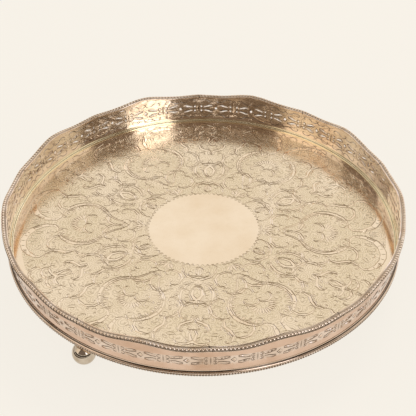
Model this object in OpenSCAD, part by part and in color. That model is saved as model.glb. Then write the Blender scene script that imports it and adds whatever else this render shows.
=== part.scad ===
// Round gallery tray: a flat floor plate, a pierced wall with a waved edge, borders and ball feet.
// Millimetres, +Z up. The origin is on the table under the tray's centre, and a joint of the wall faces -Y.
// The wall and its rim border are made of equal lengths. They are numbered from -Y, turning towards +X.

/* [Tray] */
// Diameter across the rim border
rim_d = 320; // [300:5:340]
// Height of the floor's top face above the table
floor_z = 25; // [24:0.5:28]
// Thickness of the floor plate
plate_t = 1.2; // [1:0.1:1.6]

/* [Gallery wall] */
// Number of lengths in the wall, one to each wave of its edge
lengths = 10; // [9:1:12]
// Mean height of the wall above the floor
wall_h = 24.8; // [22:0.2:28]
// Thickness of the wall
wall_t = 1.0; // [0.8:0.1:1.4]
// Outward lean of the wall, in degrees
wall_lean = 4; // [2:0.5:8]
// Rise and fall of the long wave along the edge
long_wave = 1.4; // [0.8:0.1:2]
// Rise and fall of the short wave, which is two to a length
short_wave = 0.8; // [0:0.1:1.2]
// Height of the small peak at each joint
joint_peak = 0.4; // [0:0.1:1]

/* [Piercing] */
// Pierced patterns in each length
patterns = 3; // [2:1:4]
// Height of the middle of the pierced band above the floor
band_h = 12.6; // [11:0.2:14]
// Widest part of a leaf-shaped slot
leaf_w = 1.3; // [0.8:0.1:1.8]
// Distance from the middle of the band to the end of a leaf that is next to the diamond
leaf_near = 3.1; // [2.6:0.1:3.6]
// Distance from the middle of the band to the far end of a leaf
leaf_far = 2.1; // [1.6:0.1:2.6]
// Size of a round dot
dot_d = 1.5; // [1:0.1:2]
// Size of the diamond from corner to corner
diamond_w = 2.6; // [2:0.1:3]

/* [Borders] */
// Width of the rim border
border_w = 4.6; // [4:0.1:5.4]
// Height of the rim border above the wall's edge
border_h = 1.9; // [1.4:0.1:2.4]
// Diameter of the fine border under the base moulding
base_wire_d = 1.9; // [1.6:0.1:2.2]

/* [Feet] */
// Number of feet
feet = 3; // [3:1:4]
// Diameter of a ball foot
ball_d = 18; // [16:0.5:19]
// Distance from the centre of the tray to a foot
foot_r = 150.5; // [130:0.5:151]
// Turn of the first foot from -Y, in degrees, negative towards -X
foot_turn = -37.5; // [-60:0.5:60]

/* [Hidden] */
length_angle = 360 / lengths;
pattern_angle = length_angle / patterns;
stations = 18;                                  // straight steps along the edge of one length
edge_r = rim_d / 2 - border_w / 2;              // mid radius of the wall at its mean height
foot_edge_r = edge_r - wall_h * tan(wall_lean); // mid radius of the wall where it stands on the plate
plate_ledge = 0.5;                              // how far the plate runs out past the wall
plate_r = foot_edge_r + wall_t / 2 + plate_ledge;
reed = 0.5;                                     // radius of a reed of the inner fillet
fillet_w = 4 * reed;
floor_r = foot_edge_r - wall_t / 2 - fillet_w;  // radius of the open floor
under_z = floor_z - plate_t;                    // underside of the plate
seat_z = floor_z - 0.2;                         // shallow seat round the floor, for the wall
pattern_half = edge_r * sin(pattern_angle / 2); // half the width of one pierced pattern
solder_gap = 0.05;                              // room for solder under the rim border
peak_angle = 3;                                 // half the width of a joint's peak, in degrees
pad_r = 5.5;
pad_t = 1.2;
seat_r = 3.2;                                   // flat on top of a ball, where its collar stands
ball_r = ball_d / 2;
ball_top = ball_r + sqrt(ball_r * ball_r - seat_r * seat_r);
reach = 20;                                     // how far cutters run past what they cut

// Names of one node for each length or foot, such as rim_border_01
function numbered(name, count) = [for (i = [1:count]) str(name, "_", i < 10 ? "0" : "", i)];

// Rise of the wall's edge above its mean height, at an angle from a joint
function edge_rise(a) =
    short_wave * cos(2 * a * lengths) - long_wave * cos(a * lengths)
    + joint_peak * max(0, 1 - min(a, length_angle - a) / peak_angle);

// Radius of a face of the wall at a height above the floor; side is -1 inside, 0 halfway, 1 outside
function wall_r(h, side) = foot_edge_r + h * tan(wall_lean) + side * wall_t / 2;

// A point at a radius and an angle from -Y
function around(r, a, z) = [r * sin(a), -r * cos(a), z];

// Points of an arc in a section, from one angle to another
function arc(r, z, radius, from, to, steps) =
    [for (i = [0:steps]) let (a = from + (to - from) * i / steps)
        [r + radius * cos(a), z + radius * sin(a)]];

// Outline of one leaf slot above and to the right of a pattern's centre
leaf_start = 0.18 * pattern_half;
leaf_end = 0.71 * pattern_half;
leaf_steps = 6;
function leaf_middle(t) = [leaf_start + (leaf_end - leaf_start) * t,
                           leaf_near + (leaf_far - leaf_near) * t + 0.3 * sin(360 * t)];
function leaf_half(t) = leaf_w / 2 * pow(sin(180 * t), 0.7);
function leaf_points() = concat(
    [for (i = [0:leaf_steps]) leaf_middle(i / leaf_steps) + [0, leaf_half(i / leaf_steps)]],
    [for (i = [leaf_steps - 1:-1:1]) leaf_middle(i / leaf_steps) - [0, leaf_half(i / leaf_steps)]]
);

// Solid of revolution through part of a turn, starting at -Y
module swept(section, angle = 360) {
    rotate([0, 0, -90])
        rotate_extrude(angle = angle)
            polygon(section);
}

// Cutter through the wall for an outline drawn across and up, on the wall's face at an angle from -Y
module through_wall(a, z) {
    rotate([0, 0, a])
        translate([0, reach - edge_r, z])
            rotate([90, 0, 0])
                linear_extrude(2 * reach)
                    children();
}

// Piercings of one pattern: four leaves, four dots and a diamond
module pattern_cuts(a) {
    z = floor_z + band_h;
    dot_x = 0.82 * pattern_half;
    for (sx = [-1, 1], sy = [-1, 1]) {
        through_wall(a, z)
            polygon([for (p = leaf_points()) [sx * p.x, sy * p.y]]);
        through_wall(a, z)
            translate([sx * dot_x, sy * leaf_far])
                circle(d = dot_d, $fn = 8);
    }
    through_wall(a, z)
        circle(d = diamond_w, $fn = 4);
}

// Everything above the waved edge of one length
module above_edge() {
    half = length_angle / 2;
    top = floor_z + wall_h + 3 * long_wave + reach;
    edge = [for (i = [0:stations]) let (a = length_angle * i / stations)
            [edge_r * sin(a - half), floor_z + wall_h + edge_rise(a)]];
    past_end = edge[stations].x + reach;
    through_wall(half, 0)
        polygon(concat(
            [[-past_end, top], [-past_end, edge[0].y]],
            edge,
            [[past_end, edge[stations].y], [past_end, top]]
        ));
}

// Flat round plate: the engraved floor, with a shallow seat round its edge
module tray_plate() {
    color("#dcc9a6")
        translate([0, 0, under_z]) {
            cylinder(h = seat_z - under_z, r = plate_r, $fn = 180);
            cylinder(h = plate_t, r = floor_r, $fn = 180);
        }
}

// One stamped and pierced length of the wall, standing on the plate
module gallery_panel(index) {
    tall = wall_h + 3 * long_wave;
    color("#cbb29a")
        rotate([0, 0, length_angle * (index - 1)])
            difference() {
                swept([
                    [wall_r(seat_z - floor_z, -1), seat_z],
                    [wall_r(seat_z - floor_z, 1), seat_z],
                    [wall_r(tall, 1), floor_z + tall],
                    [wall_r(tall, -1), floor_z + tall]
                ], length_angle);
                above_edge();
                for (i = [0:patterns - 1])
                    pattern_cuts(pattern_angle * (i + 0.5));
            }
}

// Section of the rim border, across and up from the wall's edge
function border_section() = let (w = border_w / 2, h = border_h) [
    [-w, 0.2 * h],
    [-0.74 * w, solder_gap],
    [0.61 * w, solder_gap],
    [0.91 * w, -0.26 * h],
    [w, 0.1 * h],
    [0.74 * w, 0.68 * h],
    [0.17 * w, h],
    [-0.52 * w, 0.9 * h],
    [-0.91 * w, 0.58 * h]
];

// One length of the gadrooned rim border, which follows the wall's edge
module rim_border(index) {
    section = border_section();
    n = len(section);
    points = [for (i = [0:stations], p = section)
              let (a = length_angle * i / stations, h = wall_h + edge_rise(a))
              around(wall_r(h, 0) + p.x, a, floor_z + h + p.y)];
    sides = [for (i = [0:stations - 1], j = [0:n - 1]) let (k = (j + 1) % n)
             [i * n + j, (i + 1) * n + j, (i + 1) * n + k, i * n + k]];
    start = [for (j = [0:n - 1]) j];
    end = [for (j = [n - 1:-1:0]) stations * n + j];
    color("#b8a98c")
        rotate([0, 0, length_angle * (index - 1)])
            polyhedron(points, concat(sides, [start, end]));
}

// Double reed that covers the joint of the wall and the floor on the inside
module inner_fillet() {
    foot = wall_r(0, -1);
    top = 3.9 * reed;
    color("#e6d6b4")
        swept(concat(
            [[wall_r(seat_z - floor_z, -1), seat_z], [floor_r, seat_z]],
            arc(floor_r + reed, floor_z + reed, reed, 180, 75, 5),
            arc(foot - 1.1 * reed, floor_z + 2.9 * reed, reed, 190, 90, 5),
            [[wall_r(top, -1), floor_z + top]]
        ));
}

// Moulding round the plate's edge: a small cove under the wall, then a rounded step
module base_moulding() {
    foot = wall_r(0, 1);
    cove_top = 2.4;
    color("#d8bfa4")
        swept(concat(
            [[wall_r(seat_z - floor_z, 1), seat_z], [plate_r, seat_z],
             [plate_r, under_z], [foot + 1.2, under_z]],
            arc(foot + 0.75, floor_z, 1, -50, 80, 8),
            arc(foot + 0.9, floor_z + 1.75, 0.6, 250, 180, 4),
            [[wall_r(cove_top, 1), floor_z + cove_top]]
        ));
}

// Fine gadrooned wire under the base moulding
module base_border() {
    wire_r = base_wire_d / 2;
    flat = 52;
    color("#a8906f")
        swept(arc(wall_r(0, 1) + 0.55, under_z - wire_r * sin(flat), wire_r, 180 - flat, 360 + flat, 16));
}

// Placement of a foot, with its middle on the origin
module at_foot(index) {
    turn = foot_turn + 360 / feet * (index - 1);
    translate(around(foot_r, turn, 0))
        children();
}

// Round pad soldered under the plate
module foot_pad(index) {
    color("#b9a78a")
        at_foot(index)
            translate([0, 0, under_z - pad_t])
                cylinder(h = pad_t, r = pad_r, $fn = 48);
}

// Turned collar between a pad and its ball
module foot_collar(index) {
    top = under_z - pad_t;
    waist = (top + ball_top) / 2;
    color("#b9a78a")
        at_foot(index)
            rotate_extrude()
                polygon([
                    [0, ball_top],
                    [seat_r, ball_top],
                    [seat_r, ball_top + 0.8],
                    [seat_r - 1, waist],
                    [seat_r + 0.6, top - 0.8],
                    [seat_r + 0.6, top],
                    [0, top]
                ]);
}

// Ball foot with a flat seat on top
module foot_ball(index) {
    color("#8f877c")
        at_foot(index)
            difference() {
                translate([0, 0, ball_r])
                    sphere(r = ball_r, $fn = 64);
                translate([-ball_r, -ball_r, ball_top])
                    cube([ball_d, ball_d, ball_r]);
            }
}

tray_plate();
for (i = [1:lengths]) {
    gallery_panel(i);
    rim_border(i);
}
inner_fillet();
base_moulding();
base_border();
for (i = [1:feet]) {
    foot_pad(i);
    foot_collar(i);
    foot_ball(i);
}
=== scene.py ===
# %% [markdown]
# # A round gallery tray in worn silver plate
# The tray is a flat engraved floor with a low pierced wall. A twisted-looking border, called gadrooning,
# follows the waved edge of the wall, a fine gadrooned wire runs under the base, and three balls carry it.
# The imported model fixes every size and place. This script builds finer pieces in the same places.

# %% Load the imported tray
import math

import bpy
import numpy as np
from mathutils import Matrix, Vector
from mathutils.geometry import delaunay_2d_cdt


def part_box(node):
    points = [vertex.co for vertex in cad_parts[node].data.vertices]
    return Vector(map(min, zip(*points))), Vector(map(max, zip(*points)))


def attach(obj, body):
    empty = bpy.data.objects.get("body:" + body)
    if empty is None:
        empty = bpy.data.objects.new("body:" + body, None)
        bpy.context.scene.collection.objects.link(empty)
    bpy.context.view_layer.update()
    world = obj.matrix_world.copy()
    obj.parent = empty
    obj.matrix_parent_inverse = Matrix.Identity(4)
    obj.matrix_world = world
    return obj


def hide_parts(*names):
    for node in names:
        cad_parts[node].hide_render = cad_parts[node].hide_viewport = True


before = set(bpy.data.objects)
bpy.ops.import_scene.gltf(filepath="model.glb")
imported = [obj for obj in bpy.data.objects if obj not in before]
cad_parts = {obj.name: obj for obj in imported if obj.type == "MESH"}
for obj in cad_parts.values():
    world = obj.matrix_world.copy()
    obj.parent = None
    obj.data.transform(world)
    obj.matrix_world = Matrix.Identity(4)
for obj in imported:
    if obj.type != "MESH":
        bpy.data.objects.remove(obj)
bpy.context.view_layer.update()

# %% [markdown]
# ## Sizes
# Everything is worked out in millimetres and turned into metres when a mesh is made.
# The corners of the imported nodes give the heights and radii. The wave of the edge and the lean of the wall
# are the maker's own choices, so they are named here again.

# %% Sizes of the tray in millimetres
MM = 0.001


def node_box(node):
    """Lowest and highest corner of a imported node, in millimetres."""
    low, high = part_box(node)
    return np.array(low) / MM, np.array(high) / MM


plate_low, plate_high = node_box("tray_plate")
floor_z = plate_high[2]
under_z = plate_low[2]
plate_r = plate_high[0]
seat_z = floor_z - 0.2
lengths = sum(name.startswith("gallery_panel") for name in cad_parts)
length_angle = 360 / lengths
wall_t = 1.0
wall_h = 24.8
lean = math.tan(math.radians(4))
foot_edge_r = plate_r - 0.5 - wall_t / 2
floor_r = foot_edge_r - wall_t / 2 - 2
edge_r = foot_edge_r + wall_h * lean
rim_half = 2.3
rim_h = 1.9
print(f"floor {floor_z:.1f} mm up, plate radius {plate_r:.2f}, open floor radius {floor_r:.2f}")
print(lengths, "lengths of wall, each of", length_angle, "degrees")


def edge_rise(angle):
    """Rise of the wall's edge above its mean height, at angles from a joint."""
    wave = 0.8 * np.cos(np.radians(2 * angle * lengths)) - 1.4 * np.cos(np.radians(angle * lengths))
    to_joint = np.minimum(angle % length_angle, -angle % length_angle)
    return wave + 0.4 * np.maximum(0, 1 - to_joint / 3)


def wall_r(height, side):
    """Radius of a face of the wall: side is -1 inside, 0 in the middle and 1 outside."""
    return foot_edge_r + height * lean + side * wall_t / 2


def around(radius, angle, z):
    """Points at a radius and an angle in degrees, which runs from -Y towards +X."""
    turn = np.radians(angle)
    return np.stack(np.broadcast_arrays(radius * np.sin(turn), -radius * np.cos(turn), z), -1)


# %% [markdown]
# ## Camera
# The camera stands in front of the tray and looks down at about forty degrees from less than a metre,
# with a long lens. It is placed by angles and a distance, so the view is easy to read and to change.
# A small lens shift sets the tray a little low in the picture, as a product picture has it.

# %% Camera
VIEW_DOWN = 40.1
VIEW_TURN = -1.54
VIEW_ROLL = 0.39
VIEW_DISTANCE = 837
LENS = 88.95

target = Vector((0, 0, floor_z * MM))
back = Vector(around(math.cos(math.radians(VIEW_DOWN)), VIEW_TURN, math.sin(math.radians(VIEW_DOWN))))
camera = bpy.data.objects.new("camera", bpy.data.cameras.new("camera"))
bpy.context.scene.collection.objects.link(camera)
camera.location = target + back * VIEW_DISTANCE * MM
aim = (-back).to_track_quat("-Z", "Y").to_matrix() @ Matrix.Rotation(math.radians(-VIEW_ROLL), 3, "Z")
camera.rotation_euler = aim.to_euler()
camera.data.lens = LENS
camera.data.sensor_width = 36
camera.data.shift_x = 0.0105
camera.data.shift_y = 0.048
camera.data.clip_start = 0.05
bpy.context.scene.camera = camera
print("camera at, mm:", [round(v / MM) for v in camera.location])

# %% [markdown]
# ## Colours and nodes
# Colours are written as sRGB hex, as a paint chart gives them, and one function turns them to linear light.
# A second small function adds a shader node with its settings and its links. Settings that are used again
# and again have names of their own.

# %% Colour and node helpers


def colour(code):
    """Linear RGBA from an sRGB hex code."""
    parts = [int(code[i:i + 2], 16) / 255 for i in (1, 3, 5)]
    return [p / 12.92 if p <= 0.04045 else ((p + 0.055) / 1.055) ** 2.4 for p in parts] + [1]


RGB_MIX = {"data_type": "RGBA"}
PRODUCT = {"operation": "MULTIPLY"}
PRODUCT_AND_SUM = {"operation": "MULTIPLY_ADD"}


def add_node(tree, kind, settings=None, links=None):
    """Adds a shader node and gives its outputs. links are sockets or values for its inputs."""
    made = tree.nodes.new("ShaderNode" + kind)
    for field, value in (settings or {}).items():
        setattr(made, field, value)
    for name, value in (links or {}).items():
        if isinstance(value, bpy.types.NodeSocket):
            tree.links.new(value, made.inputs[name])
        else:
            made.inputs[name].default_value = value
    return made.outputs


def new_material(name):
    """An empty node material and its tree."""
    material = bpy.data.materials.new(name)
    material.use_nodes = True
    material.node_tree.nodes.clear()
    return material, material.node_tree


# %% [markdown]
# ## Stage and light
# A silver tray shows its surroundings more than itself, so the light is built first. The table is a plain
# pale sheet that glows a little, which keeps its shadow faint, and the room is cream.
# The rest of the room is a few glowing cards that only the silver can see. Brown screens stand low in front
# of the tray and the wall mirrors them. A white soft box and a warm card between the screens give the two
# bright patches on the back of the wall, and a small lamp gives the ball its glint. A brown ceiling darkens
# every cut that tilts towards the viewer, and a cool window behind the tray lights the cuts' far sides.

# %% Stage pieces
TABLE = colour("#F6F1E8")


def strip_faces(rows, columns, ring=False, tube=False):
    """Faces of a grid of points. ring joins its last column to the first, and tube its last row."""
    row, column = np.meshgrid(np.arange(rows if tube else rows - 1),
                              np.arange(columns if ring else columns - 1), indexing="ij")
    row_after, column_after = (row + 1) % rows, (column + 1) % columns
    return np.stack([row * columns + column, row * columns + column_after,
                     row_after * columns + column_after, row_after * columns + column], -1).reshape(-1, 4)


def stage_mesh(name, points, faces, material, seen=True):
    """A piece of the stage, in metres. One that isn't seen shows only as a reflection in the silver."""
    mesh = bpy.data.meshes.new(name)
    mesh.from_pydata(np.asarray(points).tolist(), [], np.asarray(faces).tolist())
    mesh.materials.append(material)
    made = bpy.data.objects.new(name, mesh)
    bpy.context.scene.collection.objects.link(made)
    made.visible_camera = seen
    made.visible_shadow = seen
    made.visible_diffuse = seen
    return mesh


# %% Table and room


def pale_paper():
    """Mostly its own even glow, and a little plain diffuse that takes the shadow."""
    material, tree = new_material("pale_paper")
    glow = add_node(tree, "Emission", links={"Color": TABLE, "Strength": 0.90})
    paper = add_node(tree, "BsdfDiffuse", links={"Color": [0.10 * c for c in TABLE[:3]] + [1]})
    both = add_node(tree, "AddShader", links={0: glow[0], 1: paper[0]})
    add_node(tree, "OutputMaterial", links={"Surface": both[0]})
    return material


FAR = 6.0
stage_mesh("table", [(-FAR, -FAR, 0), (FAR, -FAR, 0), (FAR, FAR, 0), (-FAR, FAR, 0)], [(0, 1, 2, 3)],
           pale_paper())
world = bpy.data.worlds.new("cream_room")
world.use_nodes = True
bpy.context.scene.world = world
room = world.node_tree.nodes["Background"]
room.inputs["Color"].default_value = TABLE
room.inputs["Strength"].default_value = 1.0

# %% Screens, soft box, lamp and ceiling
CARD_DISTANCE = 1.6


def card(name, turn, width, low, high, shade, strength):
    """A curved card that glows evenly: where it stands, seen from the tray, in degrees round and up."""
    steps = max(1, round(width / 6))
    turns = np.linspace(turn - width / 2, turn + width / 2, steps + 1)
    points = [around(CARD_DISTANCE * math.cos(rise), turns, floor_z * MM + CARD_DISTANCE * math.sin(rise))
              for rise in np.radians([low, high])]
    material, tree = new_material(name)
    glow = add_node(tree, "Emission", links={"Color": colour(shade), "Strength": strength})
    add_node(tree, "OutputMaterial", links={"Surface": glow[0]})
    stage_mesh(name, np.concatenate(points), strip_faces(2, steps + 1), material, seen=False)


card("screen_front", -17.5, 73, 16, 64, "#85776C", 0.95)
card("screen_right", 63, 34, 16, 64, "#85776C", 0.95)
card("screen_side", -128, 40, 34, 60, "#85776C", 0.95)
card("screen_low", -10, 150, 1, 13, "#3A2E24", 0.8)
card("soft_box", 32.5, 27, 22, 64, "#F8F9FF", 2.9)
card("warm_card", -73, 38, 16, 64, "#FFF2E2", 1.15)
card("ceiling", 0, 360, 66, 90, "#8A7C68", 0.85)
card("window", 140, 46, 3, 23, "#F1F2FF", 1.7)
card("lamp", -57, 8, 33, 45, "#FFF8EE", 2.4)

# %% [markdown]
# The silver's low parts mirror the table close by, and that mirror image is darker than the table looks.
# So a brown sheet of painted shade, which only the silver can see, lies in front of the tray. It fades into
# the pale table at its ends and far out. A hard edge would show as a line on the wall in a view from the
# side.

# %% Brown sheet
SHEET_TURNS = np.linspace(-120, 100, 45)
SHEET_Z = 0.0004


def brown_sheet():
    """The sheet in rows from its near edge outwards, with how far each row has faded."""
    near_edge = 0.188 + 0.034 * np.clip((SHEET_TURNS + 55) / 45, 0, 1)
    to_end = np.clip((np.abs(SHEET_TURNS + 10) - 80) / 30, 0, 1)
    rows = [(near_edge, 0), (0.27, 0), (0.42, 0.4), (0.9, 0.6)]
    material, tree = new_material("brown_sheet")
    gone = add_node(tree, "Attribute", {"attribute_name": "fade"})["Fac"]
    brown = [0.85 * c for c in colour("#5C4C3F")[:3]] + [1]
    shade = add_node(tree, "Mix", RGB_MIX, {0: gone, 6: brown, 7: TABLE})[2]
    glow = add_node(tree, "Emission", links={"Color": shade})
    add_node(tree, "OutputMaterial", links={"Surface": glow[0]})
    mesh = stage_mesh("brown_sheet", np.concatenate([around(r, SHEET_TURNS, SHEET_Z) for r, _ in rows]),
                      strip_faces(len(rows), len(SHEET_TURNS)), material, seen=False)
    fade = np.concatenate([np.maximum(to_end, far_out) for _, far_out in rows])
    mesh.attributes.new("fade", "FLOAT", "POINT").data.foreach_set("value", fade.astype(np.float32))


brown_sheet()

# %% Key light and view
key = bpy.data.lights.new("key_light", "AREA")
key.shape = "DISK"
key.size = 0.7
key.energy = 9
key.color = colour("#FFF4E6")[:3]
key_light = bpy.data.objects.new("key_light", key)
bpy.context.scene.collection.objects.link(key_light)
key_light.location = Vector(around(1.3, 150, 1.5))
key_light.rotation_euler = (target - key_light.location).to_track_quat("-Z", "Y").to_euler()
key_light.visible_camera = False
key_light.visible_glossy = False

view = bpy.context.scene.view_settings
view.view_transform = "Standard"
view.look = "None"

# %% [markdown]
# ## Making a piece
# Every piece is built from arrays of points and faces. One function makes the mesh, gives it its material,
# lets it ride on the tray's body and hides the imported node that it stands for. Most pieces here are
# sections that were swept round, so two more helpers sweep a section and draw a round part of one.

# %% Mesh helpers


def make_piece(name, points, faces, material, node, smooth=False, normals=None, marks=None):
    """A piece from points in millimetres. marks are values for points or faces, which the material reads."""
    mesh = bpy.data.meshes.new(name)
    mesh.from_pydata((np.asarray(points) * MM).tolist(), [], [list(f) for f in faces])
    mesh.materials.append(material)
    mesh.polygons.foreach_set("use_smooth", np.full(len(mesh.polygons), smooth or normals is not None))
    for mark, values in (marks or {}).items():
        kind = "POINT" if len(values) == len(mesh.vertices) else "FACE"
        is_vector = np.ndim(values) == 2
        layer = mesh.attributes.new(mark, "FLOAT_VECTOR" if is_vector else "FLOAT", kind)
        layer.data.foreach_set("vector" if is_vector else "value", np.ravel(values).astype(np.float32))
    if normals is not None:
        mesh.normals_split_custom_set(normals)
    mesh.update()
    made = bpy.data.objects.new(name, mesh)
    bpy.context.scene.collection.objects.link(made)
    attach(made, "root")
    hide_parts(node)
    return made


def swept(section, steps, start=0, closed=True):
    """A surface swept all round from a section of (radius, z) points, which may be closed."""
    turns = start + np.arange(steps) * 360 / steps
    points = np.concatenate([around(r, turns, z) for r, z in section])
    return points, strip_faces(len(section), steps, ring=True, tube=closed)


def bend(r, z, radius, first, last, steps):
    """Points of an arc in a section."""
    return [(r + radius * math.cos(math.radians(a)), z + radius * math.sin(math.radians(a)))
            for a in np.linspace(first, last, steps + 1)]


# %% [markdown]
# ## Worn silver plate
# The tray is brass or copper with a thin coat of silver. Years of polishing leave it warm and soft in
# shine, and tarnish stays in the hollows. It is a metal, so it is fully metallic with the default IOR, and
# its colour is the colour of the mirror. Four things make it look real: slow drifts between a bright and
# a dull silver, a darker tone where the mesh is marked, which is partly tarnish and partly painted shade,
# fine wiping scratches, and a roughness that follows the dull patches. A second mark paints shade with a
# copper tint on the wall's outer face. One function builds this, and each finish gives it its own tones:
# engraved, pierced, cast, drawn, reeded or turned.
# Between the deep cuts of the floor the engraver fills the ground with hair lines that curl round many small
# centres, and mats it with a blunt punch. Hair lines are too fine for the mesh, so the material draws them.
# A Voronoi texture gives the centres. The angle round a centre plus the distance from it make a spiral, and
# a sine turns the spiral into lines.

# %% Fine curls
CURL_CELL = 8.0
CURL_GAP = 1.55


def fine_curls(tree):
    """Hair lines that curl round small centres. They follow the floor's drawing, so they mirror with it."""
    drawn = add_node(tree, "Attribute", {"attribute_name": "drawn"})["Vector"]
    cells = add_node(tree, "TexVoronoi", links={"Vector": drawn, "Scale": 1 / CURL_CELL, "Randomness": 0.85})
    arm = add_node(tree, "VectorMath", {"operation": "SUBTRACT"}, {0: drawn, 1: cells["Position"]})[0]
    reach = add_node(tree, "VectorMath", {"operation": "LENGTH"}, {0: arm})["Value"]
    sides = add_node(tree, "SeparateXYZ", links={0: arm})
    swing = add_node(tree, "Math", {"operation": "ARCTAN2"}, {0: sides[1], 1: sides[0]})[0]
    phase = add_node(tree, "Math", PRODUCT_AND_SUM, {0: reach, 1: 2 * math.pi / CURL_GAP, 2: swing})[0]
    wave = add_node(tree, "Math", {"operation": "SINE"}, {0: phase})[0]
    return add_node(tree, "MapRange", links={"Value": wave, 1: 0.25, 2: 0.9})[0]


# %% Engraved and matted ground
PUNCH_MM = 0.9


def engraved_ground(tree, place, patches, tone, rough, height):
    """Changes the tone, roughness and height of silver plate where it is marked as matted."""
    marked = add_node(tree, "Attribute", {"attribute_name": "matted"})["Fac"]
    left = add_node(tree, "MapRange", links={"Value": patches, 1: 0.42, 2: 0.58, 3: 0.4, 4: 1.0})
    ground = add_node(tree, "Math", PRODUCT, {0: marked, 1: left[0]})[0]
    pecks = add_node(tree, "TexVoronoi", links={"Vector": place, "Scale": 1000 / PUNCH_MM})[0]
    shade = add_node(tree, "MapRange", links={"Value": pecks, 1: 0.1, 2: 0.6})[0]
    matt = add_node(tree, "Mix", RGB_MIX, {0: shade, 6: colour("#FDEDD6"), 7: colour("#ECDABC")})[2]
    tone = add_node(tree, "Mix", RGB_MIX, {0: ground, 6: tone, 7: matt})[2]
    rough = add_node(tree, "Mix", links={0: ground, 2: rough, 3: 0.22})[0]
    lines = add_node(tree, "Math", PRODUCT, {0: fine_curls(tree), 1: marked})[0]
    faint = add_node(tree, "Math", PRODUCT, {0: lines, 1: 0.34})[0]
    tone = add_node(tree, "Mix", RGB_MIX, {0: faint, 6: tone, 7: colour("#8F7D5C")})[2]
    height = add_node(tree, "Math", PRODUCT_AND_SUM, {0: lines, 1: -2.5, 2: height})[0]
    dents = add_node(tree, "Math", PRODUCT, {0: pecks, 1: ground})[0]
    height = add_node(tree, "Math", PRODUCT_AND_SUM, {0: dents, 1: 3.0, 2: height})[0]
    return tone, rough, height


# %% Worn silver plate


def silver_plate(name, bright, dull, tarnish_and_shade_tone, roughness, patch_mm, tarnish_and_shade=None, matted=False, shade_and_copper=None):
    """Worn silver plate. Its two mark arguments name marks of the mesh: the first darkens the places it
    marks, as patina and as painted shade, and the second paints shade with a pinkish tint.
    """
    material, tree = new_material(name)
    place = add_node(tree, "TexCoord")["Object"]
    patches = add_node(tree, "TexNoise",
                       links={"Vector": place, "Scale": 1000 / patch_mm, "Detail": 5, "Roughness": 0.6})[0]
    spread = add_node(tree, "MapRange", links={"Value": patches, 1: 0.35, 2: 0.68})[0]
    tone = add_node(tree, "Mix", RGB_MIX, {0: spread, 6: colour(bright), 7: colour(dull)})[2]
    rough = add_node(tree, "MapRange", links={"Value": spread, 3: roughness, 4: roughness * 1.5})[0]
    wipes = add_node(tree, "Mapping", links={"Vector": place, "Scale": (1, 14, 1), "Rotation": (0, 0, 0.5)})
    height = add_node(tree, "TexNoise", links={"Vector": wipes[0], "Scale": 160, "Detail": 4})[0]
    if matted:
        tone, rough, height = engraved_ground(tree, place, patches, tone, rough, height)
    # the second mark is painted shade with a copper tint: the marked part of the tone is multiplied by a
    # copper colour
    if shade_and_copper:
        shade_and_copper_amount = add_node(tree, "Attribute", {"attribute_name": shade_and_copper})["Fac"]
        shaded_copper = add_node(tree, "Mix", {**RGB_MIX, "blend_type": "MULTIPLY"},
                          {0: 1.0, 6: tone, 7: colour("#F0DACD")})[2]
        tone = add_node(tree, "Mix", RGB_MIX, {0: shade_and_copper_amount, 6: tone, 7: shaded_copper})[2]
    # the first mark darkens the marked places towards a dark tone, partly tarnish and partly painted shade
    if tarnish_and_shade:
        depth = add_node(tree, "Attribute", {"attribute_name": tarnish_and_shade})["Fac"]
        tone = add_node(tree, "Mix", RGB_MIX, {0: depth, 6: tone, 7: colour(tarnish_and_shade_tone)})[2]
    bump = add_node(tree, "Bump", links={"Height": height, "Strength": 0.25, "Distance": 0.00004})
    metal = add_node(tree, "BsdfPrincipled",
                     links={"Base Color": tone, "Metallic": 1.0, "Roughness": rough, "Normal": bump[0]})
    add_node(tree, "OutputMaterial", links={"Surface": metal[0]})
    return material


# %% Finishes of the tray
# for each: bright silver, dull silver, the tone of tarnish and painted shade, roughness, and the size of the
# patches in mm
floor_silver = silver_plate("silver_plate_engraved", "#FEEDD7", "#F5E0C5", "#8A7752", 0.10, 38, "cut", True)
# the outer face gets painted shade with a copper tint, which darkens what it mirrors
wall_silver = silver_plate("silver_plate_pierced", "#F3E9DD", "#DAC9B6", "#4A3624", 0.06, 24, "chased",
                           shade_and_copper="shade_and_copper")
# the gadrooned rim and the wire are darker between their lobes and teeth: tarnish and painted shade
rim_silver = silver_plate("silver_plate_gadrooned", "#FAE8D6", "#E4CAB0", "#42301F", 0.13, 9, "valley")
# the drawn moulding's near-black tone is painted shade in its cove
ring_silver = silver_plate("silver_plate_drawn", "#E9D3C0", "#D2B9A1", "#1E160F", 0.08, 14, "valley")
# the reeded fillet is wiped less often and has kept a yellow tone
reed_silver = silver_plate("silver_plate_reeded", "#FAF0D4", "#EDE0BE", "#4C4228", 0.08, 22, "valley")
# the feet's silver is toned darker than the tray's: painted shade
foot_silver = silver_plate("silver_plate_turned", "#D6C9B8", "#B3A28C", "#4A3D30", 0.05, 8)
print("finishes:", [m.name for m in bpy.data.materials if m.name.startswith("silver_plate")])

# %% [markdown]
# ## Strokes
# The engraver's scrolls are made of arcs that run into each other. A stroke is a line of points that sets
# off in a direction and follows bends, and each bend is a radius and a turn. Everything on the floor and
# on the wall is drawn with such strokes, in a flat drawing in millimetres, before it becomes metal.

# %% Stroke helpers
STEP = 0.8
MOST_TURN = 36
MOST_GAP = 6


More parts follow.
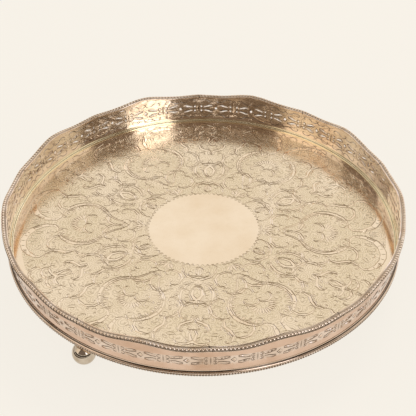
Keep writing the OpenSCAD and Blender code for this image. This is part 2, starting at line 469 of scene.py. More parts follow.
def arcs(x, y, heading, *bends):
    """A stroke from (x, y). A bend is (radius, turn in degrees), left if plus, or (0, length) if straight."""
    path = [(x, y)]
    aim_now = math.radians(heading)
    for radius, turn in bends:
        long = abs(turn) if radius == 0 else abs(math.radians(turn)) * radius
        steps = max(2, math.ceil(long / STEP), math.ceil(abs(turn) / 12) if radius else 2)
        swing = 0 if radius == 0 else math.radians(turn) / steps
        for _ in range(steps):
            aim_now += swing / 2
            x += long / steps * math.cos(aim_now)
            y += long / steps * math.sin(aim_now)
            aim_now += swing / 2
            path.append((x, y))
    return np.array(path)


def normals_of(path):
    """Unit normals of a path, to its left."""
    along = np.gradient(path, axis=0)
    along /= np.maximum(1e-9, np.hypot(along[:, 0], along[:, 1]))[:, None]
    return np.stack([-along[:, 1], along[:, 0]], -1)


def beside(path, distance):
    """The path moved to its left by a distance, which may change along it."""
    return path + normals_of(path) * np.reshape(distance, (-1, 1))


def thinned(path):
    """The path with only the points its shape needs: a new one after some turn or some length."""
    along = np.diff(path, axis=0)
    heading = np.degrees(np.unwrap(np.arctan2(along[:, 1], along[:, 0])))
    kept, turned_by, gone = [0], 0.0, 0.0
    for i in range(1, len(path) - 1):
        turned_by += abs(heading[i] - heading[i - 1])
        gone += np.hypot(*along[i - 1])
        if turned_by > MOST_TURN or gone > MOST_GAP:
            kept.append(i)
            turned_by, gone = 0.0, 0.0
    if len(kept) < 3:
        kept = sorted({0, len(path) // 3, 2 * len(path) // 3} - {len(path) - 1})
    return path[kept + [len(path) - 1]]


def leaf(x, y, heading, long, wide, curl=0):
    """Both sides of a pointed leaf that sets off at a heading and curls by some degrees."""
    spine = arcs(x, y, heading, (long / math.radians(abs(curl)), curl) if curl else (0, long))
    swell = wide / 2 * np.sin(np.pi * np.linspace(0, 1, len(spine)) ** 0.8)
    return [beside(spine, swell), beside(spine, -swell)]


print("a test arc ends at", arcs(0, 0, 0, (10, 90))[-1].round(2))

# %% [markdown]
# ## From a drawing to chased metal
# A drawn line becomes a V-shaped cut. The sheet is triangulated so that every cut has a line of points
# along its bottom and along both edges, and then each point sinks by how near it is to the bottom line.
# This keeps the cuts crisp with far fewer faces than an even grid, and crossing cuts need no special care.

# %% Sheets with cuts


def cut(path, half, depth):
    """A cut along a path: its points, and its half width and depth at each. The ends run out to nothing."""
    path = thinned(np.asarray(path, float))
    swell = np.clip(np.sin(np.pi * np.linspace(0, 1, len(path))), 0.02, 1) ** 0.4
    return path, half * swell, depth * swell ** 1.5


def sunk(points, cuts):
    """How deep each point lies in the cuts."""
    start, half, depth = [np.concatenate([c[kind][:-1] for c in cuts]) for kind in range(3)]
    along, half_step, depth_step = [np.concatenate([np.diff(c[kind], axis=0) for c in cuts])
                                    for kind in range(3)]
    square = np.maximum(1e-9, (along ** 2).sum(1))
    found = np.zeros(len(points))
    for low in range(0, len(points), 1500):
        part = points[low:low + 1500]
        gap = part[:, None, :] - start[None]
        t = np.clip((gap * along[None]).sum(2) / square, 0, 1)
        distance = np.hypot(*(gap - t[..., None] * along[None]).transpose(2, 0, 1))
        near = np.clip(1 - distance / (half + t * half_step), 0, 1)
        found[low:low + 1500] = ((depth + t * depth_step) * near).max(1)
    return found


def inside(points, outline):
    """Which points are inside a closed outline."""
    x, y = points[:, 0, None], points[:, 1, None]
    x1, y1 = np.asarray(outline).T
    x2, y2 = np.roll(x1, -1), np.roll(y1, -1)
    crosses = ((y1 > y) != (y2 > y)) & (x < (x2 - x1) * (y - y1) / np.where(y2 == y1, 1e-9, y2 - y1) + x1)
    return crosses.sum(1) % 2 == 1


def drawn_sheet(outline, cuts, holes=(), loose=(), seams=()):
    """Triangles of a flat sheet inside an outline and outside holes, with points along its cuts and seams."""
    cut_lines = [beside(path, side * wide) for path, wide, _ in cuts for side in (-1, 0, 1)]
    points, edges = [], []
    for lines, closes in (([outline, *holes], 0), ([*cut_lines, *seams], 1)):
        for line in lines:
            first = len(points)
            points += list(line)
            edges += [(first + i, first + (i + 1) % len(line)) for i in range(len(line) - closes)]
    points += list(loose)
    flat, _, faces, _, _, _ = delaunay_2d_cdt([Vector(p) for p in points], edges, [], 0, 1e-3)
    flat = np.array([tuple(p) for p in flat])
    faces = np.array([f[:3] for f in faces])
    middle = flat[faces].mean(1)
    keep = inside(middle, outline)
    for hole in holes:
        keep &= ~inside(middle, hole)
    return flat, faces[keep]


# %% [markdown]
# ## The engraved drawing
# The floor repeats twelve times: a 30 degree wedge and its mirror image. In the wedge's drawing, x runs
# along the middle of a medallion away from the centre of the tray, and y across it. Scrolls are drawn
# between two eyes: a curved line is made at any size, then turned and scaled so that its ends fall there.

# %% Scrolls


def spanned(path, start, end):
    """The path turned, scaled and moved so that it runs from start to end."""
    have = complex(*(path[-1] - path[0]))
    want = complex(end[0] - start[0], end[1] - start[1])
    moved = (path[:, 0] - path[0, 0] + 1j * (path[:, 1] - path[0, 1])) * (want / have)
    return np.stack([moved.real + start[0], moved.imag + start[1]], -1)


FULL_START = 2.2
EYE = [(1.0, 150), (FULL_START, 100)]


def c_scroll(start, end, hand=1, sweep=150, full=4.0):
    """A C between two eyes. hand is 1 if it turns left. full is its middle radius against its eyes."""
    bends = [*EYE, (full * FULL_START, sweep), *EYE[::-1]]
    return spanned(arcs(0, 0, 0, *[(r, hand * a) for r, a in bends]), start, end)


def s_scroll(start, end, hand=1, sweep=80, full=4.0):
    """An S between two eyes, which turns first one way and then the other."""
    half = [*EYE, (full * FULL_START, sweep)]
    bends = half + [(r, -a) for r, a in half[::-1]]
    return spanned(arcs(0, 0, 0, *[(r, hand * a) for r, a in bends]), start, end)


def ribbon(path, wide, hand=1):
    """A scroll's inner line: the path moved to its hollow side, most in the middle, and none at the eyes."""
    run = np.concatenate([[0], np.cumsum(np.hypot(*np.diff(path, axis=0).T))])
    t = run / run[-1]
    return beside(path, hand * wide * np.sin(np.pi * t) ** 1.3)


# %% Tools for the wedge's drawing
reserve_r = 44.2
ground_r = 147
WIDE_RIBBON = 2.3
polished = []
drawing = []


def reserve_edge(angle):
    """Radius of the scalloped edge of the plain round space at an angle: small leaf tips point inwards."""
    return reserve_r + 2.6 - 2.4 * np.abs(np.sin(np.radians(36 * angle))) ** 0.8


def on_round(radius, degrees):
    """Points of the drawing at a radius and an angle."""
    return np.stack([radius * np.cos(np.radians(degrees)), radius * np.sin(np.radians(degrees))], -1)


def turned(path, degrees):
    """A drawn path turned about the centre of the tray."""
    c, s = math.cos(math.radians(degrees)), math.sin(math.radians(degrees))
    return np.asarray(path) @ np.array([[c, s], [-s, c]])


def engrave(path, half=0.32, depth=0.15):
    """Adds a cut to the wedge's drawing."""
    drawing.append(cut(path, half, depth))


def engrave_ribbon(path, wide, hand, ribs=0):
    """Adds a scroll with two lines, a polished body between them and ribs across it."""
    inner = ribbon(path, wide, hand)
    apart = np.flatnonzero(np.hypot(*(inner - path).T) > 0.3 * wide)
    body = slice(apart[0], apart[-1] + 1)
    engrave(path, 0.4, 0.2)
    engrave(inner[body], 0.34, 0.16)
    polished.append(np.concatenate([path, inner[::-1]]))
    if not ribs and wide > WIDE_RIBBON:
        engrave(ribbon(path, -0.55 * wide, hand)[body], 0.26, 0.1)
    for t in np.linspace(0.3, 0.7, ribs):
        i = int(t * (len(path) - 1))
        engrave(path[i] + np.outer((0.14, 0.4, 0.64, 0.88), inner[i] - path[i]), 0.32, 0.14)


def engrave_leaf(x, y, heading, long, wide, curl=0):
    """Adds a leaf with a polished blade."""
    left, right = leaf(x, y, heading, long, wide, curl)
    engrave(left, 0.3, 0.14)
    engrave(right, 0.3, 0.14)
    polished.append(np.concatenate([left, right[::-1]]))


def engrave_acanthus(path, wide, hand, leaves, size):
    """Adds a scroll whose outer side breaks into small leaves, which shrink towards its far eye."""
    engrave_ribbon(path, wide, hand)
    along = np.gradient(path, axis=0)
    for number, t in enumerate(np.linspace(0.3, 0.74, leaves)):
        i = int(t * (len(path) - 1))
        root = path[i] - 0.7 * hand * normals_of(path)[i]
        heading = math.degrees(math.atan2(along[i, 1], along[i, 0]))
        long = size * (1 - 0.4 * number / leaves)
        engrave_leaf(*root, heading - hand * 48, long, long * 0.42, hand * 55)


# %% The wedge's drawing
# the fluted scroll near the wall, and the shell bud between it and its mirror image
engrave_ribbon(c_scroll((123.5, 10.5), (128.5, 36.0), 1, 165, 3.2), 5.2, 1, ribs=11)
engrave_ribbon(arcs(139.6, 6.6, 60, (1.1, 120), (8.2, 86)), 1.6, 1)
engrave(arcs(138.5, 4.6, 180, (4.6, 90)))
engrave(arcs(131, 3.2, 196, (16, -22), (0, 4)))
engrave_leaf(134.5, 0.9, 12, 7, 1.6)

# the medallion: crescents, a fan of petals, a leafy border and an outer oval with a long tail
engrave_ribbon(c_scroll((84.5, 5.5), (111.0, 11.5), -1, 150, 3.6), 3.6, -1, ribs=9)
for turn in np.linspace(6, 78, 6):
    engrave_leaf(*(on_round(5, turn) + (98, 0)), turn, 7.0, 2.0)
for turn in np.linspace(22, 150, 10):
    engrave_leaf(*(on_round(1, turn) * (17.6, 19.6) + (97, 0)), turn - 20, 4.8, 2.2, 40)
oval = on_round(1, np.linspace(12, 152, 24)) * (21.5, 24.6) + (97, 0)
tail = arcs(*oval[-1], 218, (60, -14), (9, 60), (3.5, 130))
engrave_ribbon(np.concatenate([oval, tail[1:]]), 1.7, 1)
engrave_ribbon(c_scroll((93.5, 2.4), (91.0, 8.6), 1, 150, 2.6), 1.6, 1)

# the band of scrolls between the medallion and the plain round space
engrave_acanthus(c_scroll((69.5, 4.2), (74.5, 13.8), 1, 150, 2.6), 2.0, 1, 3, 3.4)
engrave_acanthus(c_scroll((60.0, 9.0), (65.5, 16.0), -1, 150, 2.4), 1.8, -1, 3, 3.2)
for turn in (0, 26, 52):
    engrave_leaf(49.5, 0.8 if turn else 0, turn, 8.5, 2.4)
engrave(arcs(46.0, 7.2, -40, (3, -60), (9, 60)))

# the lunette against the round space, on the far side of the wedge
engrave_ribbon(turned(c_scroll((48.0, -8.8), (48.0, 8.8), 1, 185, 3.4), 30), 1.9, 1, ribs=9)
engrave_ribbon(turned(c_scroll((50.5, -1.2), (54.5, -5.4), -1, 160, 2.2), 30), 1.3, -1)
engrave_leaf(*turned((50.0, -0.4), 30), 26, 8.5, 2.4)

# the round scroll beyond the lunette, and the sprays that grow out of it towards the wall
ring = on_round(1, np.linspace(195, 20, 22)) * (14.5, 13.6) + (79, 0)
engrave_acanthus(turned(ring, 30), 2.0, -1, 6, 4.2)
engrave_acanthus(turned(c_scroll((73.0, -1.6), (83.0, -6.0), -1, 150, 2.8), 30), 2.4, -1, 3, 3.6)
engrave_acanthus(turned(c_scroll((92.0, -1.5), (100.5, -7.5), 1, 150, 2.8), 30), 2.2, 1, 4, 4.4)
engrave_acanthus(turned(s_scroll((102.5, -2.0), (116.0, -8.5), -1, 90, 3.4), 30), 2.4, -1, 4, 4.6)
engrave_acanthus(turned(c_scroll((118.5, -1.6), (126.0, -9.0), -1, 150, 2.8), 30), 2.2, -1, 4, 4.0)

# scrolls that fill the side of the wedge, and the pair of scrolls near the wall
engrave_acanthus(s_scroll((103, 31), (121, 41), -1, 90, 3.6), 2.4, -1, 5, 5.0)
engrave_ribbon(turned(c_scroll((131.5, -10.0), (131.0, -1.5), 1, 160, 3.0), 30), 2.2, 1, ribs=5)
engrave_ribbon(turned(c_scroll((138.0, -13.0), (140.5, -2.0), 1, 150, 3.2), 30), 2.0, 1, ribs=5)
engrave_acanthus(c_scroll((84, 27.5), (96, 31.5), -1, 150, 2.8), 2.2, -1, 4, 4.4)
engrave_acanthus(c_scroll((112, 20.5), (118.5, 29.5), 1, 150, 2.8), 1.8, 1, 3, 3.4)

# the scalloped edge of the plain round space, and leaf tips along the wall
scallops = np.linspace(-1.0, 31.0, 97)
engrave(on_round(reserve_edge(scallops), scallops), 0.3, 0.14)
for turn in (5, 15, 25):
    for side in (-1, 0, 1):
        engrave_leaf(*turned((143.2, side * 0.8), turn), turn + 42 * side, 3.4, 1.7)
print(len(drawing), "cuts drawn by hand")

# %% [markdown]
# ## Filling the ground
# No gap on such a floor stays empty: the engraver fills it with small sprigs and curls. The same rule is
# used here. A sprig is tried at a place and kept if it is clear of every cut so far, first with larger
# sprigs and then with smaller ones. The choice of places is random, but it is seeded, so it is the same
# each time.

# %% Sprigs and curls in every gap
chance = np.random.default_rng(36)


def sprig(size, heading):
    """A small curl, or a pair of leaves, of about a given size."""
    hand = chance.choice([-1, 1])
    if chance.random() < 0.75:
        curl = arcs(0, 0, heading, *[(size * r, hand * a) for r, a in ((0.9, 60), (0.42, 130), (0.2, 90))])
        return [curl, arcs(*curl[0], heading - hand * 28, (size * 0.7, hand * 70))]
    return leaf(0, 0, heading, size * 1.25, size * 0.5, 30 * hand)


taken = np.concatenate([path for path, _, _ in drawing])
for size, clearance, tries in ((6.5, 1.7, 500), (4.6, 1.6, 500)):
    for _ in range(tries):
        radius = math.sqrt(chance.uniform((reserve_r + 1.5) ** 2, (ground_r - 1) ** 2))
        heading = chance.uniform(0, 360)
        lines = sprig(size, heading)
        at = turned((radius, 0), chance.uniform(0.2, 29.8))
        body = np.concatenate(lines) + at
        reach = np.hypot(*body.T)
        swing = np.degrees(np.arctan2(body[:, 1], body[:, 0]))
        if reach.min() < reserve_r + 1 or reach.max() > ground_r or swing.min() < 0.4 or swing.max() > 29.6:
            continue
        near = taken[np.hypot(*(taken - at).T) < 2.5 * size + clearance]
        if len(near) and np.hypot(*(body[:, None] - near[None]).transpose(2, 0, 1)).min() < clearance:
            continue
        for line in lines:
            engrave(line + at, 0.3, 0.13)
        taken = np.concatenate([taken, body])
print(len(drawing), "cuts with the sprigs")

# %% The wedge as a sheet


def mirrored(path, axis):
    """A drawn path mirrored in a line through the centre, given by its angle in degrees."""
    x, y = turned(path, -axis).T
    return turned(np.stack([x, -y], -1), axis)


def near_wedge(path):
    """Which points of a path are in the wedge or just beside it."""
    swing = np.degrees(np.arctan2(path[:, 1], path[:, 0]))
    radius = np.hypot(*path.T)
    margin = np.degrees(1.5 / radius)
    return (swing > -margin) & (swing < 30 + margin) & (radius < floor_r - 2)


wedge_cuts = []
for path, wide, depth in drawing:
    for copy in (path, mirrored(path, 0), mirrored(path, 30)):
        kept = near_wedge(copy)
        runs = np.split(np.arange(len(copy)), np.flatnonzero(np.diff(kept.astype(int))) + 1)
        wedge_cuts += [(copy[run], wide[run], depth[run]) for run in runs if kept[run[0]] and len(run) > 1]
wedge_polish = [copy for body in polished for copy in (body, mirrored(body, 0), mirrored(body, 30))
                if near_wedge(copy).any()]
wedge_turns = np.linspace(0, 30, 31)
fan = np.concatenate([[(0, 0)], on_round(floor_r, wedge_turns)])
flat, wedge_faces = drawn_sheet(fan, wedge_cuts, seams=[on_round(ground_r, wedge_turns)])
wedge_depth = sunk(flat, wedge_cuts)
middle = flat[wedge_faces].mean(1)
middle_r, middle_turn = np.hypot(*middle.T), np.degrees(np.arctan2(middle[:, 1], middle[:, 0]))
in_ground = (middle_r > reserve_edge(middle_turn)) & (middle_r < ground_r)
for body in wedge_polish:
    in_ground &= ~inside(middle, body)
is_cut = wedge_depth[wedge_faces].mean(1) > 0.02
print(f"wedge: {len(flat)} points, {len(wedge_faces)} faces, {is_cut.mean():.0%} of them in cuts")

# %% [markdown]
# ## The floor plate
# The wedge and its mirror image are laid round six times and joined. A shallow seat for the wall runs
# round them, then the edge and the plain underside. Faces keep sharp edges here, because a graver leaves
# bright, flat-sided cuts.

# %% Floor plate
MEDALLION_TURN = 24.5
PLATE_STEPS = 360
# the cuts are toned darker: tarnish kept in the lines, and painted shade
CUT_TARNISH_AND_SHADE = 0.34


def floor_plate():
    """Engraved floor, seat, edge and underside as one sheet of silver plate."""
    reach = np.hypot(*flat.T)
    swing = np.degrees(np.arctan2(flat[:, 1], flat[:, 0]))
    points, faces = [], []
    for k in range(6):
        for side in (1, -1):
            first = len(flat) * len(points)
            points.append(around(reach, MEDALLION_TURN + 60 * k + side * swing, floor_z - wedge_depth))
            faces.append(first + (wedge_faces if side == 1 else wedge_faces[:, ::-1]))
    section = [(floor_r, floor_z), (floor_r, seat_z), (plate_r, seat_z), (plate_r, under_z),
               (80, under_z), (20, under_z)]
    rings, ring_faces = swept(section, PLATE_STEPS, MEDALLION_TURN, closed=False)
    first = len(flat) * len(points)
    hub = first + len(rings)
    last = hub - PLATE_STEPS
    hub_faces = [(last + i, last + (i + 1) % PLATE_STEPS, hub) for i in range(PLATE_STEPS)]
    quads = first + ring_faces
    tris = np.concatenate([*faces, quads[:, [0, 1, 2]], quads[:, [0, 2, 3]], hub_faces])
    points = np.concatenate([*points, rings, [[0, 0, under_z]]])
    plain = np.zeros(len(tris) - 12 * len(wedge_faces))
    keys, back_to = np.unique(np.round(points, 4), axis=0, return_inverse=True)
    tris = back_to.reshape(-1)[tris]
    whole = (tris[:, 0] != tris[:, 1]) & (tris[:, 1] != tris[:, 2]) & (tris[:, 0] != tris[:, 2])
    drawn = np.zeros((len(keys), 3))
    drawn[back_to.reshape(-1), :2] = np.concatenate([*[flat] * 12, np.zeros((len(rings) + 1, 2))])
    marks = {"drawn": drawn, "cut": np.append(np.tile(is_cut, 12), plain)[whole] * CUT_TARNISH_AND_SHADE,
             "matted": np.append(np.tile(in_ground & ~is_cut, 12), plain)[whole]}
    return make_piece("engraved_floor", keys, tris[whole], floor_silver, "tray_plate",
                      marks=marks)


floor_piece = floor_plate()
print("engraved floor faces:", len(floor_piece.data.polygons))

# %% [markdown]
# ## The pierced wall
# Each length of the wall was stamped and pierced while it was flat, then bent to the round. The same is
# done here: one flat drawing with its slots and chased lines is triangulated once, and bent ten times.
# Both faces carry the punched lines, since a punch that dents one face raises the other. The scrolls above
# and below the slots are cut with a graver, so only the inner face has them.

# %% The wall's drawing
PATTERNS = 3
BAND_H = 12.6
panel_long = edge_r * math.radians(length_angle)
pattern_half = edge_r * math.sin(math.radians(length_angle / PATTERNS / 2))


def slot_leaf(t):
    """Middle line of a leaf-shaped slot, from the middle of a pattern outwards."""
    return np.stack([(0.18 + 0.53 * t) * pattern_half, 3.1 - t + 0.3 * np.sin(2 * np.pi * t)], -1)


def closed(shape):
    """A closed outline as a path that comes back to its start."""
    return np.concatenate([shape, shape[:1]])


t = np.linspace(0, 1, 16)
leaf_line = slot_leaf(t)
swell = 0.6 * np.clip(np.sin(np.pi * t), 0, 1) ** 0.6
lobes = 0.62 + 0.5 * np.abs(np.sin(3 * np.pi * t ** 0.85))
leaf_slot = np.concatenate([beside(leaf_line, swell * 0.8),
                            beside(leaf_line, -swell * lobes * 1.15)[-2:0:-1]])
leaf_chase = np.concatenate([beside(leaf_line, swell + 0.7)[::-1], beside(leaf_line, -swell * lobes - 0.85)])
dot_middle = (0.82 * pattern_half, 2.1)
dot_slot = dot_middle + on_round(0.75, np.arange(8) * 45)
dot_ring = dot_middle + on_round(1.55, np.arange(8) * 45)
diamond_slot = np.array([[1.3, 0], [0, 1.3], [-1.3, 0], [0, -1.3]])

# %% Slots, punched lines and scrolls of one length
panel_holes, panel_cuts, scroll_cuts = [], [], []
for number in range(PATTERNS):
    middle_x = panel_long * (number + 0.5) / PATTERNS
    panel_holes.append(diamond_slot + (middle_x, BAND_H))
    panel_cuts.append(cut(closed(1.75 * diamond_slot) + (middle_x, BAND_H), 0.4, 0.16))
    for flip in ((1, 1), (-1, 1), (1, -1), (-1, -1)):
        panel_holes += [shape * flip + (middle_x, BAND_H) for shape in (leaf_slot, dot_slot)]
        panel_cuts.append(cut(leaf_chase * flip + (middle_x, BAND_H), 0.42, 0.18))
        panel_cuts.append(cut(closed(dot_ring) * flip + (middle_x, BAND_H), 0.38, 0.15))
    for side in (-1, 1):
        for inner_eye, outer_eye, hand in (((1.7, 21.4), (12.6, 19.6), 1), ((1.9, 4.0), (12.4, 6.0), -1)):
            scroll = s_scroll(inner_eye, outer_eye, hand, 80, 3.4)
            scroll_cuts.append(cut(scroll * (side, 1) + (middle_x, 0), 0.36, 0.18))
        post = [(middle_x + pattern_half * 0.985 * side, BAND_H + up) for up in np.linspace(-4.2, 4.2, 7)]
        panel_cuts.append(cut(post, 0.35, 0.16))

# %% One length as a sheet
top_x = np.linspace(0, panel_long, 37)
top_line = np.stack([top_x, wall_h + edge_rise(top_x / panel_long * length_angle)], -1)
base_line = np.stack([top_x, np.full(37, seat_z - floor_z)], -1)
net = np.stack(np.meshgrid(np.linspace(0, panel_long, 41)[1:-1], np.linspace(1.5, 22, 9)), -1).reshape(-1, 2)
clear = ~np.any([inside(net, hole) for hole in panel_holes], axis=0)
wall_flat, wall_faces = drawn_sheet(np.concatenate([base_line, top_line[::-1]]),
                                    panel_cuts + scroll_cuts, panel_holes, net[clear])
wall_middle = wall_flat[wall_faces].mean(1)
wall_depth = sunk(wall_flat, panel_cuts)
scroll_depth = sunk(wall_flat, scroll_cuts)
out_face = np.clip(8 * sunk(wall_middle, panel_cuts), 0, 0.5)
in_face = np.clip(8 * sunk(wall_middle, panel_cuts + scroll_cuts), 0, 0.5)
print(f"one wall length, flat: {len(wall_flat)} points, {len(wall_faces)} faces")


# %% Bend the wall
def border_edges(faces):
    """Edges that only one face has, in that face's direction."""
    edges = np.concatenate([faces[:, [0, 1]], faces[:, [1, 2]], faces[:, [2, 0]]])
    ordered = np.sort(edges, axis=1)
    _, first, count = np.unique(ordered, axis=0, return_index=True, return_counts=True)
    return edges[first[count == 1]]


def gallery_panel(index):
    """One bent length: outer face, inner face, and the walls of its slots and edges."""
    turn = length_angle * (index - 1) + wall_flat[:, 0] / panel_long * length_angle
    height = wall_flat[:, 1]
    outer = around(wall_r(height, 1) - wall_depth, turn, floor_z + height)
    inner = around(wall_r(height, -1) - wall_depth + scroll_depth, turn, floor_z + height)
    count = len(outer)
    a, b = border_edges(wall_faces).T
    sides = np.concatenate([np.stack([a, a + count, b + count], -1), np.stack([a, b + count, b], -1)])
    faces = np.concatenate([wall_faces, wall_faces[:, ::-1] + count, sides])
    points = np.concatenate([outer, inner])
    out = around(math.cos(math.atan(lean)), turn, -math.sin(math.atan(lean)))
    smooth_normals = np.concatenate([out, -out])
    corner = points[faces]
    flat_normals = np.cross(corner[:, 1] - corner[:, 0], corner[:, 2] - corner[:, 0])
    flat_normals /= np.maximum(1e-9, np.linalg.norm(flat_normals, axis=1))[:, None]
    chased = np.concatenate([wall_depth, wall_depth + scroll_depth])
    is_plain = (chased[faces].max(1) < 0.01) & (np.arange(len(faces)) < 2 * len(wall_faces))
    normals = np.where(is_plain[:, None, None], smooth_normals[faces], flat_normals[:, None, :])
    # painted shade with a copper tint on the outer face: half as strong on the band and the slot walls, none
    # on the inner face
    from_band = np.abs(wall_flat[wall_faces][:, :, 1].mean(1) - BAND_H)
    outside = np.clip((from_band - 3.2) / 1.6, 0.5, 1)
    marks = {"chased": np.concatenate([out_face, in_face, np.full(len(sides), 0.08)]),
             "shade_and_copper": np.concatenate([outside, 0 * outside, np.full(len(sides), 0.5)])}
    name = f"gallery_panel_{index:02d}"
    return make_piece(name + "_pierced", points, faces, wall_silver, name,
                      normals=normals.reshape(-1, 3).tolist(), marks=marks)


panels = [gallery_panel(i + 1) for i in range(lengths)]
print("faces in one bent length:", len(panels[0].data.polygons))

# %% [markdown]
# ## The gadrooned rim
# Gadroons are slanting lobes cast side by side in a strip, which is bent along the waved edge and soldered
# on. In mesh code one strip is a grid: its columns follow the lobes, closer together in the narrow
# valleys, and its rows follow the section. The lobes lean, so each row is shifted along the edge by how
# far out it is. They fill the outer half of the strip. A smooth band and a lip run inside them, and a fine
# thread outside. Between the lobes the tone is darker, as tarnish and painted shade, the smooth inner band
# and the creases beside the lobes get painted shade, and tarnish stays in the joint of two lengths.

# %% Gadrooned rim
LOBES = 36
LOBE_LEAN = 2.4
lobe_columns = np.array([-0.5, -0.40, -0.27, -0.10, 0.10, 0.27, 0.40])
lobe_swell = (1 - np.abs(2 * lobe_columns) ** 1.7) ** 0.75
# the rows of the section, all round it: mm across and up, how far a row carries lobes, and its painted shade
rim_rows = np.array([
    (-1.70, 0.05, 0, 0), (1.40, 0.05, 0, 0), (2.05, -0.45, 0, 0), (2.28, -0.30, 0, 0), (2.24, 0.02, 0, 0),
    (2.04, 0.16, 0, 0.25), (1.98, 0.50, 0.7, 0), (1.80, 0.92, 1, 0), (1.44, 1.30, 1, 0), (0.98, 1.48, 1, 0),
    (0.50, 1.48, 1, 0), (0.08, 1.30, 0.9, 0), (-0.16, 1.12, 0.5, 0.1), (-0.30, 1.00, 0, 0.6),
    (-1.50, 1.08, 0, 0.35), (-1.66, 1.26, 0, 0), (-1.90, 1.36, 0, 0), (-2.16, 1.20, 0, 0), (-2.28, 0.6, 0, 0),
    (-2.2, 0.28, 0, 0)])


def rim_border(index):
    """One length of the rim, with its lobes, lip and thread."""
    columns = np.append([(lobe + c + 0.5) / LOBES for lobe in range(LOBES) for c in lobe_columns], 1.0)
    swell = np.append(np.tile(lobe_swell, LOBES), 0.0)
    to_joint = np.minimum(columns, 1 - columns) * LOBES
    points, valley = [], []
    for across, up, carries, tarnish_and_shade in rim_rows:
        slant = np.clip(across / 1.8, -1, 1) * LOBE_LEAN / 2 / edge_r * 180 / math.pi
        turn = columns * length_angle + slant
        height = wall_h + edge_rise(np.clip(turn, 0, length_angle))
        lift = carries * (0.55 * swell - 0.17) * (0.4 + 0.6 * np.clip(to_joint, 0.35, 1))
        fat = 0.16 * carries * swell * np.sign(across)
        points.append(around(wall_r(height, 0) + across + fat, turn + length_angle * (index - 1),
                             floor_z + height + up + lift))
        # the joint is dark; between the lobes the tone is darker, as tarnish and painted shade; the rows' own
        # marks paint shade on the inner band and in the creases
        joint = 0.9 * (carries == 0) * (to_joint < 0.15)
        between_lobes = carries * np.clip(1.0 - 1.45 * swell, 0, 0.85)
        valley.append(np.maximum(joint, tarnish_and_shade) + between_lobes * (1 - tarnish_and_shade))
    rows, cols = rim_rows.shape[0], len(columns)
    end = np.arange(rows) * cols
    faces = [*strip_faces(rows, cols, tube=True).tolist(), end[::-1].tolist(), (end + cols - 1).tolist()]
    name = f"rim_border_{index:02d}"
    return make_piece(name + "_gadrooned", np.concatenate(points), faces, rim_silver, name,
                      smooth=True, marks={"valley": np.concatenate(valley)})


rims = [rim_border(i + 1) for i in range(lengths)]
print("faces in one rim length:", len(rims[0].data.polygons))

# %% [markdown]
# ## Mouldings at the base
# The reeded fillet inside, the moulding outside and the fine wire below it were drawn or rolled and run all
# round. The first two are swept from their sections. The wire has almost five hundred small teeth, so its
# ring of columns swells and narrows four times for each tooth.

# %% Mouldings
RING_STEPS = 360


def crisp_edges(piece, angle):
    """Ends the smooth shading of a piece at edges that are sharper than an angle."""
    piece.modifiers.new("edges", "EDGE_SPLIT").split_angle = math.radians(angle)


def smooth_ring(name, section, hollows, material, node):
    """A plain moulding swept from its section. hollows are the section's points that are toned darker."""
    points, faces = swept(section, RING_STEPS)
    marks = np.repeat([0.85 if i in hollows else 0.0 for i in range(len(section))], RING_STEPS)
    made = make_piece(name, points, faces, material, node, smooth=True, marks={"valley": marks})
    crisp_edges(made, 50)


inner_foot = wall_r(0, -1)
outer_foot = wall_r(0, 1)
smooth_ring("inner_fillet_reeded",
            [(wall_r(-0.2, -1), seat_z), (floor_r + 0.02, seat_z)]
            + bend(floor_r + 0.52, floor_z + 0.5, 0.5, 180, 60, 7)
            + bend(inner_foot - 0.55, floor_z + 1.45, 0.5, 200, 90, 6)
            + [(wall_r(1.95, -1), floor_z + 1.95)],
            (9,), reed_silver, "inner_fillet")
# the cove, points 2 to 8 of the section, is toned near black: painted shade
smooth_ring("base_moulding_swept",
            [(wall_r(2.4, 1), floor_z + 2.4)]
            + bend(outer_foot + 0.9, floor_z + 1.75, 0.6, 180, 250, 6)
            + bend(outer_foot + 0.75, floor_z, 1.0, 80, -50, 12)
            + [(outer_foot + 1.2, under_z), (plate_r + 0.02, under_z), (plate_r + 0.02, seat_z),
               (wall_r(-0.2, 1), seat_z)],
            range(2, 9), ring_silver, "base_moulding")

# %% Gadrooned wire
TEETH = 480
WIRE_R = 1.1


def base_wire():
    """Fine gadrooned wire: a round wire whose outer half is pressed into slanting teeth."""
    ring_r = outer_foot + 0.55
    ring_z = under_z - WIRE_R * math.sin(math.radians(52))
    tooth = np.tile([0.0, 0.2, 1.0, 0.9], TEETH)
    turns = np.arange(4 * TEETH) * 360 / (4 * TEETH)
    points, valley = [], []
    for angle in np.radians(np.linspace(128, 412, 11)):
        outward = np.clip(math.cos(angle + math.radians(20)) * 1.6, 0, 1)
        radius = WIRE_R * (1 - 0.5 * outward * (1 - tooth))
        points.append(around(ring_r + radius * math.cos(angle), turns + 0.2 * math.sin(angle),
                             ring_z + radius * math.sin(angle)))
        # the whole wire is toned a little darker, and the gaps between the teeth darker still, as tarnish and
        # painted shade
        valley.append(0.25 + outward * (1 - tooth) * 0.75)
    return make_piece("base_border_gadrooned", np.concatenate(points),
                      strip_faces(len(points), 4 * TEETH, ring=True, tube=True), rim_silver, "base_border",
                      smooth=True, marks={"valley": np.concatenate(valley)})


wire = base_wire()
print("wire faces:", len(wire.data.polygons))

# %% [markdown]
# ## Ball feet
# Each foot is a hollow ball made of two pressed halves, a turned collar and a round pad under the floor.
# All three are round, so they are swept from their profiles and closed with a cap below and above. The
# soldered joint round the ball's middle shows as a thin line.

# %% Feet


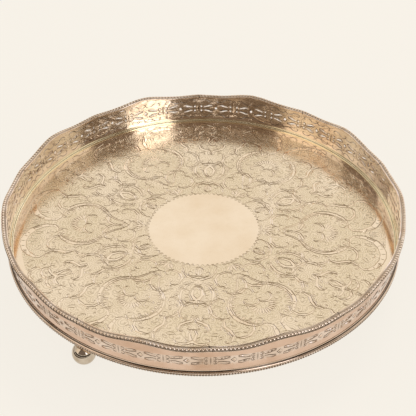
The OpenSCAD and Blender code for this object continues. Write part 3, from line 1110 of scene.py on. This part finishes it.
def turned_foot(node, how, profile, steps=48):
    """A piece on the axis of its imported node, from a profile of (radius, z) points that starts below."""
    low, high = node_box(node)
    points, faces = swept(profile, steps, closed=False)
    ring = np.arange(steps)
    after = (ring + 1) % steps
    top = len(points) - steps
    below, above = np.full(steps, len(points)), np.full(steps, len(points) + 1)
    caps = np.concatenate([np.stack([after, ring, below], -1),
                           np.stack([top + ring, top + after, above], -1)])
    points = np.concatenate([points, [(0, 0, profile[0][1]), (0, 0, profile[-1][1])]])
    made = make_piece(f"{node}_{how}", points + (low + high) / 2 * (1, 1, 0),
                      [*faces.tolist(), *caps.tolist()], foot_silver, node, smooth=True)
    crisp_edges(made, 40)


for number in (1, 2, 3):
    low, high = node_box(f"foot_ball_{number:02d}")
    ball_r = (high[0] - low[0]) / 2
    seat = math.acos((high[2] - ball_r) / ball_r)
    ball = []
    for a in np.linspace(math.radians(176), seat, 44):
        seam = 0.12 * math.exp(-((math.degrees(a) - 90) / 1.6) ** 2)
        ball.append(((ball_r - seam) * math.sin(a), ball_r + ball_r * math.cos(a)))
    turned_foot(f"foot_ball_{number:02d}", "pressed", ball, 64)
    low, high = node_box(f"foot_collar_{number:02d}")
    foot_w = (high[0] - low[0]) / 2
    waist_z = (low[2] + high[2]) / 2
    collar = [(foot_w - 0.6, low[2]), (foot_w - 0.55, low[2] + 0.5), (foot_w - 0.7, low[2] + 0.8),
              (foot_w - 1.3, waist_z - 0.5), (foot_w - 1.5, waist_z), (foot_w - 1.2, waist_z + 0.6),
              (foot_w - 0.4, high[2] - 0.8), (foot_w, high[2] - 0.6), (foot_w, high[2])]
    turned_foot(f"foot_collar_{number:02d}", "turned", collar)
    low, high = node_box(f"foot_pad_{number:02d}")
    pad_r = (high[0] - low[0]) / 2
    pad = [(pad_r - 1.0, low[2]), (pad_r - 0.35, low[2] + 0.1), (pad_r, low[2] + 0.45), (pad_r, high[2])]
    turned_foot(f"foot_pad_{number:02d}", "turned", pad)
print("a foot is", round(high[2], 1), "mm high, and its ball", round(2 * ball_r, 1), "mm across")
